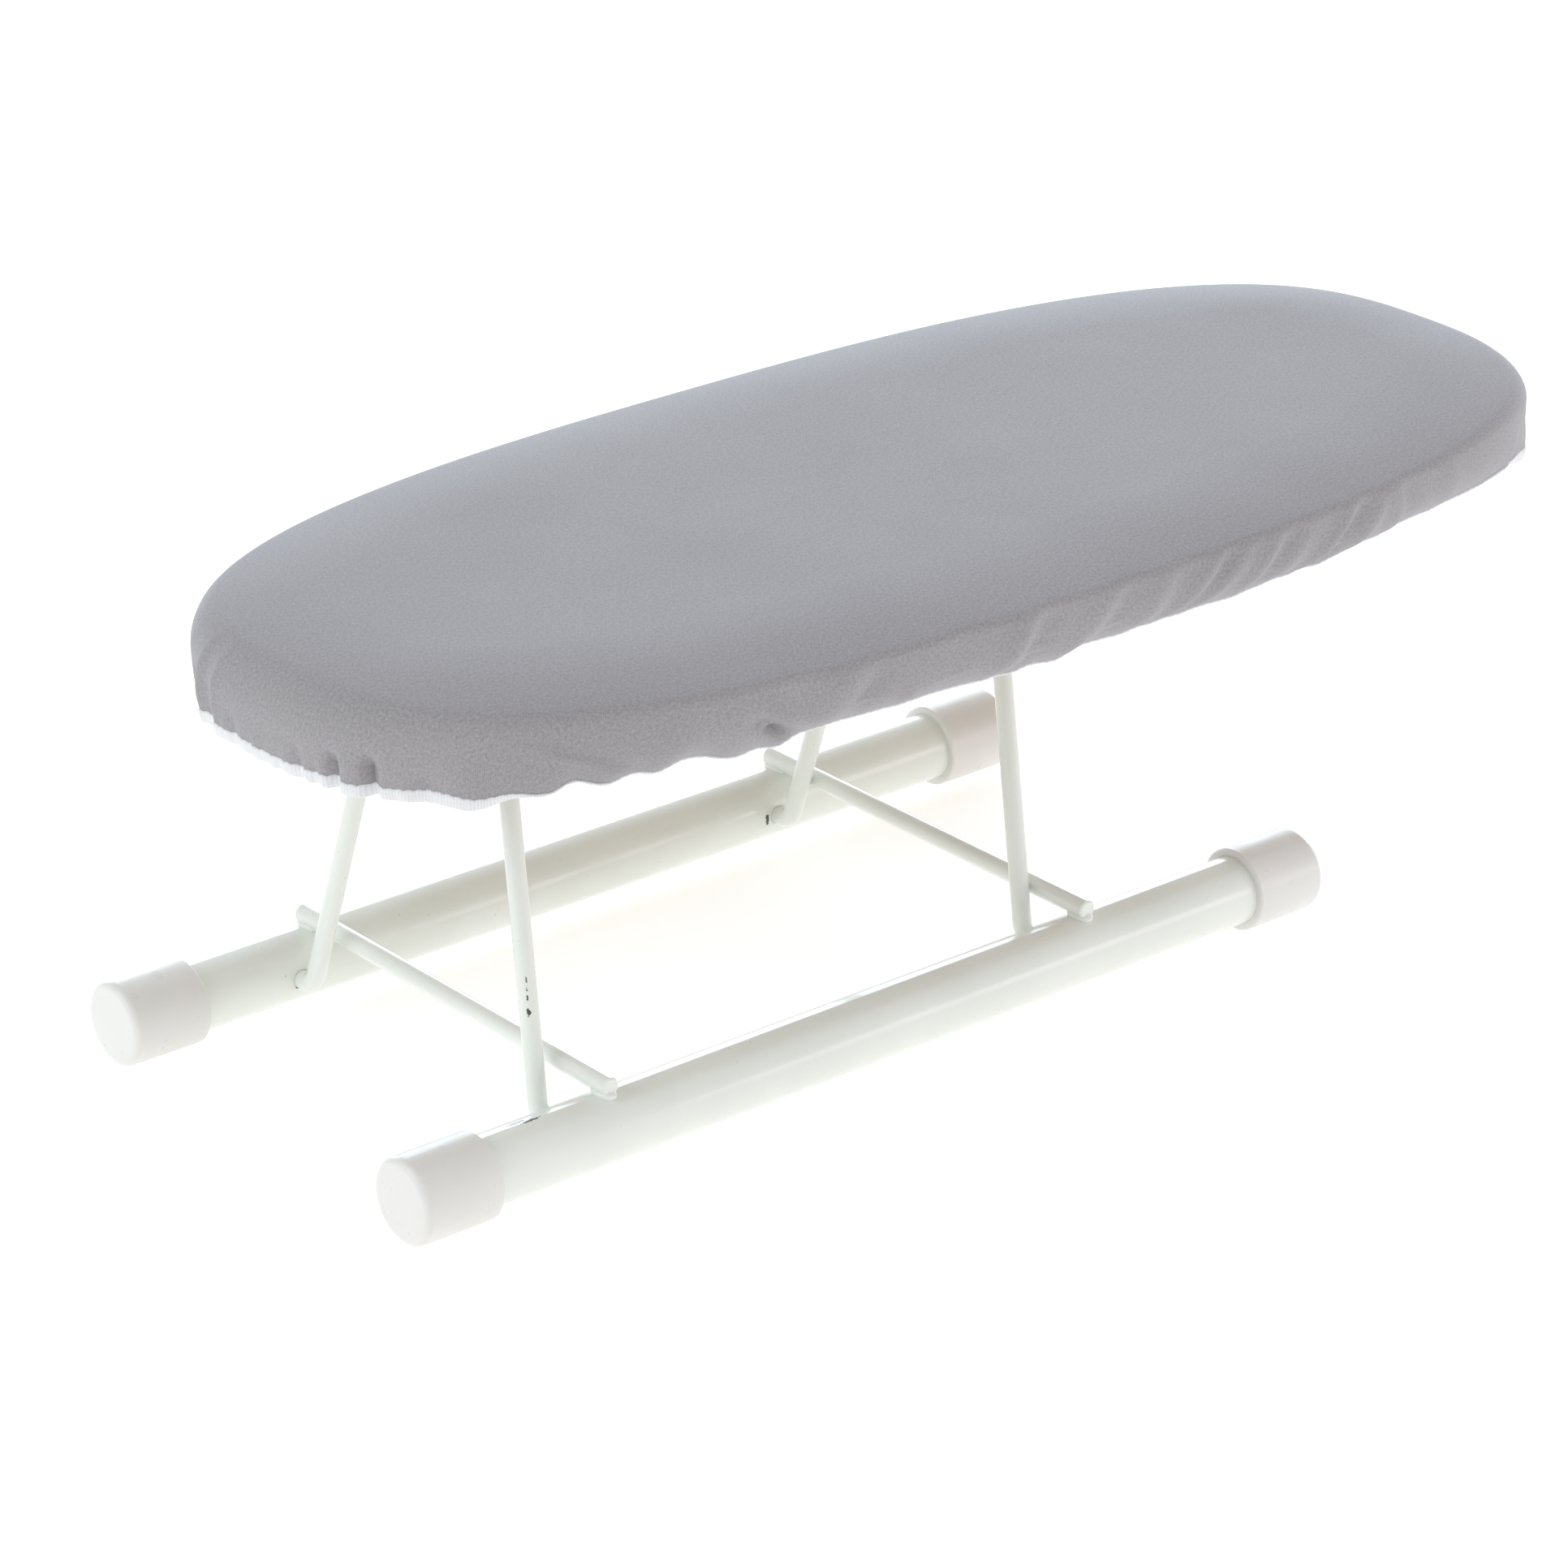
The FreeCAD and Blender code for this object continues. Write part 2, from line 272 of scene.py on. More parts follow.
def makeCoverFabric():
    fabric = {
        "light": (0.412, 0.395, 0.408),
        "dark": (0.262, 0.252, 0.262),
        "lint": (0.75, 0.76, 0.78),
        "twillPitch": 0.00058,
        "twillTurn": 38,
    }
    mat, tree, bsdf = newMaterial("coverFabric", fabric["light"], 0.86)
    flat = addNode(tree, "ShaderNodeUVMap", uv_map="flatCut").outputs["UV"]
    coords = objectCoords(tree)
    turned = addNode(tree, "ShaderNodeMapping")
    turned.inputs["Rotation"].default_value = (0, 0, math.radians(fabric["twillTurn"]))
    tree.links.new(flat, turned.inputs["Vector"])
    perMetre = 1 / fabric["twillPitch"] / 20 * 2 * math.pi  # the wave node repeats every 2 pi / 20
    twill = addNode(tree, "ShaderNodeTexWave", Scale=perMetre, Distortion=2.2, Detail=2)
    twill.inputs["Detail Scale"].default_value = 0.6
    tree.links.new(turned.outputs["Vector"], twill.inputs["Vector"])
    warp = noiseAt(tree, flat, scale=2600, detail=2, roughness=0.6)
    mottle = noiseAt(tree, flat, scale=1000, detail=4, roughness=0.8)
    clouds = noiseAt(tree, coords, scale=14, detail=4)
    threads = mathNode(tree, "ADD", mathNode(tree, "MULTIPLY", twill.outputs["Fac"], 0.30),
                       mathNode(tree, "MULTIPLY", warp, 0.70))
    tone = mathNode(tree, "ADD", mathNode(tree, "MULTIPLY", threads, 0.22),
                    mathNode(tree, "MULTIPLY", mottle, 0.78))
    color = ramp(tree, tone, [(0.36, fabric["dark"]), (0.62, fabric["light"])])
    worn = ramp(tree, clouds, [(0.35, grey(0.965)), (0.7, grey(1.03))])
    color = mixColors(tree, 1.0, color, worn, "MULTIPLY")
    lint = ramp(tree, noiseAt(tree, coords, scale=330, detail=1), [(0.835, grey(0)), (0.86, grey(0.6))])
    color = mixColors(tree, lint, color, fabric["lint"])
    tree.links.new(color, bsdf.inputs["Base Color"])
    rough = ramp(tree, mottle, [(0.3, grey(0.80)), (0.7, grey(0.93))])
    tree.links.new(rough, bsdf.inputs["Roughness"])
    setSockets(bsdf, {
        "Sheen Weight": 0.30,
        "Sheen Roughness": 0.40,
        "Sheen Tint": (0.93, 0.95, 1.0, 1),
        "Specular IOR Level": 0.25,
    })
    addBump(tree, bsdf, threads, strength=0.28, distance=0.0002)
    addBump(tree, bsdf, mottle, strength=0.45, distance=0.00022)
    return mat


def makeElastic():
    mat, tree, bsdf = newMaterial("whiteElastic", (0.86, 0.865, 0.87), 0.8)
    along = addNode(tree, "ShaderNodeUVMap", uv_map="alongHem").outputs["UV"]
    stitches = addNode(tree, "ShaderNodeTexWave", Scale=330, Distortion=3.5, Detail=3)
    tree.links.new(along, stitches.inputs["Vector"])
    fuzz = noiseAt(tree, objectCoords(tree), scale=1500, detail=4, roughness=0.7)
    loops = mathNode(tree, "ADD", mathNode(tree, "MULTIPLY", stitches.outputs["Fac"], 0.3),
                     mathNode(tree, "MULTIPLY", fuzz, 0.7))
    color = ramp(tree, loops, [(0.25, (0.68, 0.69, 0.705)), (0.6, (0.80, 0.805, 0.815))])
    tree.links.new(color, bsdf.inputs["Base Color"])
    bsdf.inputs["Sheen Weight"].default_value = 0.35
    addBump(tree, bsdf, loops, strength=0.4, distance=0.0004)
    return mat


# camera: stands at the back right corner, a little above the board
cameraSetup = {
    "azimuth": -39.35,
    "elevation": 24.11,
    "roll": -0.32,
    "distance": 1.7645,
    "lens": 131.57,
    "target": (-0.0399, -0.0002, 0.060),
    "sensor": 36,
    "clip": (0.05, 50),
}


def makeCamera(setup):
    data = bpy.data.cameras.new("camera")
    camera = bpy.data.objects.new("camera", data)
    bpy.context.scene.collection.objects.link(camera)
    azimuth, elevation = math.radians(setup["azimuth"]), math.radians(setup["elevation"])
    turn = Matrix.Rotation(azimuth, 3, "Z") @ Matrix.Rotation(math.pi / 2 - elevation, 3, "X")
    turn = turn @ Matrix.Rotation(math.radians(setup["roll"]), 3, "Z")
    camera.rotation_euler = turn.to_euler()
    camera.location = Vector(setup["target"]) + turn @ Vector((0, 0, setup["distance"]))
    data.lens = setup["lens"]
    data.sensor_width = setup["sensor"]
    data.clip_start, data.clip_end = setup["clip"]
    bpy.context.scene.camera = camera


makeCamera(cameraSetup)

lighting = {
    "floorSize": 8,
    "skyColor": (0.98, 0.975, 1.0),
    "skyStrength": 0.75,
    "floorColor": (0.75, 0.75, 0.75),
    "floorGlow": 0.54,
    "floorGlowColor": (1.0, 0.98, 0.965),
}

# each softbox: place, width and height, power, colour, share of its highlights that is kept
softboxes = {
    "backWall": ((1.25, 1.55, 0.62), (3.4, 1.1), 43, (0.74, 0.88, 1.0), 0.4),
    "leftLight": ((-1.75, 0.48, 1.05), (1.2, 0.8), 7.8, (0.88, 1.0, 1.0), 1.0),
    "rightLight": ((1.55, -1.45, 0.34), (1.3, 0.5), 5.0, (1.0, 0.90, 0.88), 1.0),
}


def makeSoftbox(name, place, size, power, color, highlights, aim=(0, 0, 0.08)):
    data = bpy.data.lights.new(name, "AREA")
    data.shape = "RECTANGLE"
    data.size, data.size_y = size
    data.energy = power
    data.color = color
    data.specular_factor = highlights
    light = bpy.data.objects.new(name, data)
    bpy.context.scene.collection.objects.link(light)
    light.location = place
    light.rotation_euler = (Vector(place) - Vector(aim)).to_track_quat("Z", "Y").to_euler()
    light.visible_camera = False


def makeStudio(setup):
    world = bpy.data.worlds.new("studio")
    bpy.context.scene.world = world
    world.use_nodes = True
    sky = world.node_tree.nodes["Background"]
    sky.inputs["Color"].default_value = (*setup["skyColor"], 1)
    sky.inputs["Strength"].default_value = setup["skyStrength"]
    for name, values in softboxes.items():
        makeSoftbox(name, *values)
    deselectAll()
    bpy.ops.mesh.primitive_plane_add(size=setup["floorSize"], location=(0, 0, 0))
    floor = bpy.context.object
    floor.name = "floor"
    mat, tree, bsdf = newMaterial("floorPaper", setup["floorColor"], 0.9)
    setSockets(bsdf, {
        "Specular IOR Level": 0.1,
        "Emission Color": (*setup["floorGlowColor"], 1),
        "Emission Strength": setup["floorGlow"],
    })
    floor.data.materials.append(mat)
    bpy.context.scene.view_settings.view_transform = "Standard"


makeStudio(lighting)
print("camera, lights and floor placed")


# the board's outline, which the cover, its hem and the pad all follow

coverLow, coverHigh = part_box("cover")
deckLow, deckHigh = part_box("deck")
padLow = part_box("felt_pad")[0]
boardOutline = {
    "middleX": (coverLow.x + coverHigh.x) / 2,
    "halfLength": (coverHigh.x - coverLow.x) / 2,
    "halfWidth": (coverHigh.y - coverLow.y) / 2,
    "power": 2.7,
    "samples": 6001,
}


# evenly spaced points round the outline, their outward normals, and the distance gone
def outlineRing(count, shape=boardOutline):
    angle = np.linspace(0, 2 * math.pi, shape["samples"])
    c, s = np.cos(angle), np.sin(angle)
    x = shape["middleX"] + shape["halfLength"] * np.sign(c) * np.abs(c) ** (2 / shape["power"])
    y = shape["halfWidth"] * np.sign(s) * np.abs(s) ** (2 / shape["power"])
    gone = np.concatenate([[0], np.cumsum(np.hypot(np.diff(x), np.diff(y)))])
    at = np.linspace(0, gone[-1], count + 1)[:-1]
    points = np.stack([np.interp(at, gone, x), np.interp(at, gone, y)], 1)
    ahead = np.roll(points, -1, 0) - np.roll(points, 1, 0)
    normals = np.stack([ahead[:, 1], -ahead[:, 0]], 1)
    normals /= np.linalg.norm(normals, axis=1)[:, None]
    return points, normals, at


# how far along the board each point is: 0 at the middle, 1 at either end
def endShare(points):
    return np.abs((points[:, 0] - boardOutline["middleX"]) / boardOutline["halfLength"])


# places a distance inside the outline, at a height
def ringAt(points, normals, inset, height):
    ring = np.zeros((len(points), 3))
    ring[:, :2] = points - normals * np.broadcast_to(inset, len(points))[:, None]
    ring[:, 2] = height
    return ring


# a disc's worth of rings, drawn from one circle by extruding it inwards row by row
def ringMesh(name, count, rows, shrink=0.995):
    deselectAll()
    bpy.ops.mesh.primitive_circle_add(vertices=count, radius=1, fill_type="NOTHING", location=(0, 0, 0))
    obj = bpy.context.object
    obj.name = name
    bpy.ops.object.mode_set(mode="EDIT")
    bpy.ops.mesh.select_all(action="SELECT")
    for row in range(rows - 1):
        bpy.ops.mesh.extrude_edges_move()
        bpy.ops.transform.resize(value=(shrink, shrink, 1), center_override=(0, 0, 0))
    bpy.ops.object.mode_set(mode="OBJECT")
    co = np.zeros(len(obj.data.vertices) * 3)
    obj.data.vertices.foreach_get("co", co)
    co = co.reshape(-1, 3)
    radius = np.hypot(co[:, 0], co[:, 1])
    turn = np.arctan2(co[:, 1], co[:, 0])
    row = np.rint(np.log(radius) / math.log(shrink)).astype(int)
    step = np.rint(turn / (2 * math.pi) * count).astype(int) % count
    return obj, row, step


def placeVertices(obj, co):
    obj.data.vertices.foreach_set("co", np.asarray(co, float).ravel())
    obj.data.update()


# the cover: one sheet, drawn round the board and gathered by its hem

coverCloth = {
    "around": 840,
    "creaseRows": 8,
    "skirtRows": 22,
    "creaseAtSides": 0.0022,
    "creaseAtEnds": 0.0115,
    "tuckAtSides": 0.0125,
    "tuckAtEnds": 0.0010,
    "tuckFrom": 0.95,
    "tuckTo": 0.57,
    "tuckPower": 3,
    "edgeDrop": 0.0004,
    "domeRise": 0.0054,
    "domeReach": 0.043,
    "deepest": 0.0024,
    "foldsRise": (-0.30, 0.25),
    "foldsEase": (0.65, 1.0),
    "easedShare": 0.50,
    "lobesRise": (0.35, 1.0),
    "dentReach": 0.6,
    "backFrom": 0.75,
    "besidePad": (-0.0015, 0.0005),
    "topSpans": 120,
    "topWaves": 0.00035,
    "wavesFrom": 0.010,
    "wavesOver": 0.025,
    "thickness": 0.0007,
}

# seeded gathers all the way round, and how strongly they show on each stretch of the skirt
looseGathers = {
    "seed": 11,
    "spacing": (0.007, 0.022),
    "lean": (-0.006, 0.004),
    "width": (0.0024, 0.0052),
    "height": (0.0004, 0.0019),
    "start": (-0.1, 0.4),
    "rise": 0.45,
    "gap": 0.012,
    "backShare": 0.30,
    "nearShare": 0.22,
    "farShare": 0.9,
}

# near side folds that run the whole skirt: X at the crease, X at the hem, width, height
nearFolds = [
    (-0.0350, -0.0415, 0.0056, 0.0021),
    (-0.0260, -0.0335, 0.0052, -0.0016),
    (-0.0015, -0.0180, 0.0070, 0.0015),
    (0.0050, -0.0025, 0.0050, -0.0012),
    (0.0205, 0.0120, 0.0058, 0.0015),
    (0.0270, 0.0210, 0.0048, -0.0008),
    (0.0410, 0.0260, 0.0048, 0.0020),
    (0.0465, 0.0285, 0.0042, -0.0016),
    (0.0530, 0.0365, 0.0050, 0.0013),
    (0.0655, 0.0545, 0.0046, 0.0016),
    (0.0750, 0.0570, 0.0050, -0.0012),
    (0.0790, 0.0715, 0.0050, 0.0009),
    (0.0998, 0.0835, 0.0046, 0.0019),
    (0.1060, 0.0910, 0.0042, -0.0015),
    (0.1145, 0.1060, 0.0046, 0.0015),
    (0.1215, 0.1280, 0.0046, 0.0014),
    (0.1275, 0.1345, 0.0046, -0.0011),
    (0.1500, 0.1570, 0.0052, 0.0009),
    (-0.1005, -0.1060, 0.0078, 0.0019),
    (-0.0590, -0.0590, 0.0090, -0.0009),
]

# short wrinkles on the near side: X at the crease, X at the hem, width, height,
# and the height share they are centred on and reach over (0 at the crease, 1 at the hem)
nearWrinkles = [
    (-0.1413, -0.1084, 0.0038, -0.0054, 0.66, 0.22),
    (-0.1370, -0.1285, 0.0072, 0.0017, 0.38, 0.36),
    (-0.1290, -0.1104, 0.0034, 0.0022, 0.50, 0.34),
    (-0.1160, -0.1020, 0.0044, -0.0012, 0.30, 0.30),
    (-0.0884, -0.0933, 0.0050, -0.0019, 0.38, 0.30),
    (-0.0783, -0.0735, 0.0028, 0.0012, 0.75, 0.22),
    (-0.2010, -0.1620, 0.0042, 0.0010, 0.50, 0.28),
    (-0.1940, -0.1570, 0.0040, -0.0011, 0.66, 0.24),
    (-0.1560, -0.1500, 0.0090, 0.0009, 0.60, 0.40),
]

# how the loose hem waves on the near side: X, width, drop, push outwards
nearLobes = [
    (-0.2050, 0.0060, 0.0016, 0.0006),
    (-0.1895, 0.0062, 0.0014, 0.0010),
    (-0.1805, 0.0044, -0.0008, -0.0006),
    (-0.1715, 0.0060, 0.0016, 0.0012),
    (-0.1560, 0.0052, 0.0017, 0.0010),
    (-0.1305, 0.0085, 0.0026, 0.0014),
    (-0.1170, 0.0052, 0.0020, 0.0012),
    (-0.0315, 0.0055, 0.0009, 0.0010),
    (-0.0140, 0.0060, 0.0010, 0.0008),
    (0.0600, 0.0070, 0.0006, 0.0006),
    (0.0980, 0.0060, 0.0008, 0.0006),
    (0.2240, 0.0090, 0.0030, 0.0016),
]

# dents and ridges of the gathered back end: Y, width, depth, and where they start
backDents = [
    (-0.0030, 0.0018, 0.0005, 0.50),
    (-0.0095, 0.0016, 0.0007, 0.50),
    (-0.0183, 0.0020, 0.0016, 0.05),
    (-0.0247, 0.0015, 0.0011, 0.45),
    (-0.0315, 0.0020, 0.0036, 0.00),
    (-0.0372, 0.0030, -0.0008, 0.00),
    (-0.0433, 0.0019, 0.0044, 0.00),
    (-0.0489, 0.0034, 0.0013, 0.45),
    (-0.0570, 0.0045, 0.0022, 0.30),
    (0.0045, 0.0019, 0.0007, 0.35),
    (0.0125, 0.0021, 0.0010, 0.10),
    (0.0227, 0.0018, -0.0010, -0.50),
    (0.0290, 0.0030, 0.0009, -0.40),
    (0.0336, 0.0017, -0.0011, -0.50),
    (0.0420, 0.0028, 0.0014, -0.20),
    (0.0510, 0.0032, 0.0012, 0.00),
    (0.0600, 0.0036, 0.0016, -0.10),
]


def bell(offset, width):
    return np.exp(-(offset / width) ** 2)


# for each point of the outline, the radius of the crease and the skirt's tuck at the hem
def skirtShape(points, normals, spec=coverCloth):
    endness = np.abs(normals[:, 0]) ** 2
    crease = spec["creaseAtSides"] + (spec["creaseAtEnds"] - spec["creaseAtSides"]) * endness
    side = easeBetween(spec["tuckFrom"], spec["tuckTo"], endShare(points))
    tuck = spec["tuckAtEnds"] + (spec["tuckAtSides"] - spec["tuckAtEnds"]) * side
    return crease, tuck


# the padded top is domed: height above the cad's top at a distance from the edge
def domeAt(inset, spec=coverCloth):
    share = np.clip(inset / spec["domeReach"], 0, 1)
    return spec["domeRise"] * (1 - (1 - share) ** 2) - spec["edgeDrop"]


# how far the skirt stands out, and how far it drops, at height share w
def foldsAt(w, points, at, spec=coverCloth):
    x, y = points[:, 0], points[:, 1]
    near = y < 0
    back = x < boardOutline["middleX"] - spec["backFrom"] * boardOutline["halfLength"]
    out = np.zeros(len(points))
    drop = np.zeros(len(points))
    rise = easeBetween(*spec["foldsRise"], w) * (1 - spec["easedShare"] * easeBetween(*spec["foldsEase"], w))
    for top, hem, width, height in nearFolds:
        out += near * height * rise * bell(x - top - (hem - top) * w, width)
    for top, hem, width, height, middle, reach in nearWrinkles:
        out += near * height * bell(w - middle, reach) * bell(x - top - (hem - top) * w, width)
    low = easeBetween(*spec["lobesRise"], w)
    for place, width, fall, push in nearLobes:
        shape = near * low * bell(x - place, width)
        out += push * shape
        drop += fall * low * shape
    for place, width, depth, start in backDents:
        out -= back * depth * easeBetween(start, start + spec["dentReach"], w) * bell(y - place, width)
    return out + looseFolds(w, at, near, back), drop


def looseFolds(w, at, near, back, spec=looseGathers):
    rng = random.Random(spec["seed"])
    total = at[-1] + at[1]
    out = np.zeros(len(at))
    place = 0.0
    while place < total - spec["gap"]:
        place += rng.uniform(*spec["spacing"])
        lean = rng.uniform(*spec["lean"])
        width = rng.uniform(*spec["width"])
        height = rng.choice((-1, 1, 1)) * rng.uniform(*spec["height"])
        start = rng.uniform(*spec["start"])
        offset = (at - place - lean * w + total / 2) % total - total / 2
        out += height * easeBetween(start, start + spec["rise"], w) * bell(offset, width)
    return out * np.where(back, spec["backShare"], np.where(near, spec["nearShare"], spec["farShare"]))


# inset and height of the skirt at height share w (0 at the crease, 1 at the hem);
# beside the deck and the pad the cloth goes no deeper than they let it
def skirtPoint(w, points, at, crease, tuck, spec=coverCloth):
    z = (coverHigh.z - crease + domeAt(0)) * (1 - w) + coverLow.z * w
    out, drop = foldsAt(w, points, at)
    inset = tuck * w ** spec["tuckPower"] - out
    fadeFrom, fadeTo = spec["besidePad"]
    beside = easeBetween(deckLow.z + fadeFrom, deckLow.z + fadeTo, z)
    return inset - beside * np.maximum(inset - spec["deepest"], 0), z - drop


# the rings of the skirt from the hem up to the crease, then round the crease to the top
def coverRings(points, normals, at, spec):
    crease, tuck = skirtShape(points, normals)
    rings = []
    for r in range(spec["skirtRows"] + 1):
        inset, height = skirtPoint(1 - r / spec["skirtRows"], points, at, crease, tuck)
        rings.append(ringAt(points, normals, inset, height))
    folds = foldsAt(0.0, points, at)[0]
    for k in range(1, spec["creaseRows"] + 1):
        turn = math.pi / 2 * k / spec["creaseRows"]
        inset = crease * (1 - math.cos(turn))
        fade = 1 - k / spec["creaseRows"]
        height = coverHigh.z + domeAt(inset) - crease * (1 - math.sin(turn))
        rings.append(ringAt(points, normals, inset - folds * fade, height))
    return np.array(rings), crease


# how far outside the outline each ring lies when the cloth is laid flat
def flatReach(rings, crease, normals):
    along = np.stack([-normals[:, 1], normals[:, 0], np.zeros(len(normals))], 1)
    reach = np.zeros(rings.shape[:2])
    reach[-1] = -crease
    for r in range(len(rings) - 2, -1, -1):
        across = rings[r] - rings[r + 1]
        across -= along * (across * along).sum(1)[:, None]
        reach[r] = reach[r + 1] + np.linalg.norm(across, axis=1)
    return reach


def makeCover(spec=coverCloth):
    points, normals, at = outlineRing(spec["around"])
    rings, crease = coverRings(points, normals, at, spec)
    reach = flatReach(rings, crease, normals)
    obj, row, step = ringMesh("fittedCover", spec["around"], len(rings))
    placeVertices(obj, rings[row, step])
    fillLoop(obj, row, len(rings) - 1, spec["topSpans"])
    waveTop(obj, len(row), points, spec)
    top = np.array([vertex.co[:2] for vertex in obj.data.vertices[len(row):]])
    skirt = points[step] + normals[step] * reach[row, step][:, None]
    writeUv(obj, "flatCut", np.concatenate([skirt, top]))
    return obj, points + normals * reach[0][:, None]


# select the edges that run along the wanted rings of a ring mesh
def selectRings(obj, row, wanted):
    activate(obj)
    bpy.ops.object.mode_set(mode="EDIT")
    bpy.ops.mesh.select_mode(type="EDGE")
    bpy.ops.mesh.select_all(action="DESELECT")
    bpy.ops.object.mode_set(mode="OBJECT")
    for edge in obj.data.edges:
        a, b = edge.vertices
        edge.select = bool(max(a, b) < len(row) and row[a] == row[b] and row[a] in wanted)
    bpy.ops.object.mode_set(mode="EDIT")


def turnOutwards():
    bpy.ops.mesh.select_all(action="SELECT")
    bpy.ops.mesh.normals_make_consistent(inside=False)
    bpy.ops.object.mode_set(mode="OBJECT")


# close one ring of a ring mesh with a grid of faces
def fillLoop(obj, row, wanted, spans):
    selectRings(obj, row, [wanted])
    bpy.ops.mesh.fill_grid(span=spans, offset=0, use_interp_simple=True)
    turnOutwards()


# the padded top is domed, and isn't quite even
def waveTop(obj, first, points, spec):
    for vertex in obj.data.vertices[first:]:
        x, y = vertex.co.x, vertex.co.y
        inset = np.hypot(points[:, 0] - x, points[:, 1] - y).min()
        slow = noise.noise(Vector((x * 9, y * 14, 3.1)))
        quick = noise.noise(Vector((x * 31, y * 37, 8)))
        fade = min(1.0, max(0.0, inset - spec["wavesFrom"]) / spec["wavesOver"])
        vertex.co.z = coverHigh.z + domeAt(inset) + fade * spec["topWaves"] * (slow + 0.4 * quick - 0.5)


def writeUv(obj, name, flat):
    layer = obj.data.uv_layers.new(name=name)
    index = np.zeros(len(obj.data.loops), int)
    obj.data.loops.foreach_get("vertex_index", index)
    layer.data.foreach_set("uv", np.asarray(flat, float)[index].ravel())


# the hem: elastic overlocked onto the edge of the cloth

hemBand = {
    "around": 2400,
    "across": 14,
    "height": 0.0040,
    "thickness": 0.0014,
    "overlap": 0.0006,
    "squareness": 0.7,
    "lineFrom": 0.94,
    "turnUnder": 70,
    "turnBetween": (0.90, 0.80),
    "loopPitch": 0.0029,
    "loopHeight": 0.00040,
    "loopDrift": (0.8, 61),
    "pucker": 0.00006,
    "puckerRate": 0.61,
    "puckerDrift": (1.3, 43),
}


# the hem's line, the way down from it, and the way the band faces: it turns under along the sides
def hemFrame(points, normals, at, spec):
    crease, tuck = skirtShape(points, normals)
    edge = ringAt(points, normals, *skirtPoint(1.0, points, at, crease, tuck))
    above = ringAt(points, normals, *skirtPoint(spec["lineFrom"], points, at, crease, tuck))
    down = edge - above
    down /= np.linalg.norm(down, axis=1)[:, None]
    outward = np.concatenate([normals, np.zeros((len(points), 1))], 1)
    turn = easeBetween(*spec["turnBetween"], endShare(points))[:, None] * math.radians(spec["turnUnder"])
    down = down * np.cos(turn) - outward * np.sin(turn)
    down /= np.linalg.norm(down, axis=1)[:, None]
    face = np.cross(np.cross(np.array([0, 0, 1.0]), outward), down)
    face *= np.sign((face * outward).sum(1))[:, None]
    return edge, down, face


def makeHem(spec=hemBand):
    count, across = spec["around"], spec["across"]
    points, normals, at = outlineRing(count)
    edge, down, face = hemFrame(points, normals, at, spec)
    obj, row, step = ringMesh("hemElastic", count, across)
    phase = at / spec["loopPitch"] * 2 * math.pi
    (loopSway, loopRate), (puckerSway, puckerRate) = spec["loopDrift"], spec["puckerDrift"]
    loops = spec["loopHeight"] * np.abs(np.sin(phase / 2 + loopSway * np.sin(at * loopRate)))
    puckers = spec["pucker"] * np.sin(phase * spec["puckerRate"] + puckerSway * np.sin(at * puckerRate))
    co = np.zeros((across, count, 3))
    uv = np.zeros((across, count, 2))
    for k in range(across):
        turn = 2 * math.pi * k / across
        upness, outness = math.cos(turn), math.sin(turn)
        upness = math.copysign(abs(upness) ** spec["squareness"], upness)
        below = spec["height"] / 2 * (1 - upness) - spec["overlap"] - loops * max(upness, 0)
        off = (spec["thickness"] / 2 + puckers) * outness
        co[k] = edge + down * below[:, None] + face * off[:, None]
        uv[k, :, 0] = at
        uv[k, :, 1] = spec["height"] * k / across
    placeVertices(obj, co[row, step])
    selectRings(obj, row, (0, across - 1))
    bpy.ops.mesh.bridge_edge_loops()
    turnOutwards()
    writeUv(obj, "alongHem", uv[row, step])
    smooth(obj, degrees=60)
    return obj


cover, coverCut = makeCover()
print("cover shaped:", len(cover.data.vertices), "vertices")
activate(cover)
solid = cover.modifiers.new("cloth", "SOLIDIFY")
solid.thickness = coverCloth["thickness"]
solid.offset = -1
applyModifiers(cover)
smooth(cover, degrees=75)
cover.data.materials.clear()
cover.data.materials.append(makeCoverFabric())
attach(cover, "board")
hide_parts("cover")

hemElastic = makeHem()
hemElastic.data.materials.append(makeElastic())
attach(hemElastic, "board")
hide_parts("hem_elastic")


# the felt pad between the deck and the cover

padShape = {
    "around": 300,
    "underCover": 0.0013,
    "besideCover": 0.0034,
    "deckInset": 0.0039,
    "deckEdge": 0.0040,
    "deckTurns": (90, 60, 30, 0),
    "edgeRows": 7,
    "topSpans": 42,
    "fill": 0.9,
}


# a thick shell: round the deck's edge on the inside, just under the cover on the outside
def padProfile(crease, spec):
    inset, edge = spec["deckInset"], spec["deckEdge"]
    profile = []
    for turn in spec["deckTurns"]:
        c, s = math.cos(math.radians(turn)), math.sin(math.radians(turn))
        profile.append((inset + edge * (1 - c), deckHigh.z - edge * (1 - s)))
    profile.append((inset, padLow.z))
    profile.append((spec["besideCover"], padLow.z))
    for k in range(spec["edgeRows"] + 1):
        turn = math.pi / 2 * k / spec["edgeRows"]
        c, s = math.cos(turn), math.sin(turn)
        across = crease * (1 - c)
        height = coverHigh.z + domeAt(across) - crease * (1 - s)
        profile.append((across + spec["besideCover"] * c, height - spec["underCover"] * s))
    return profile


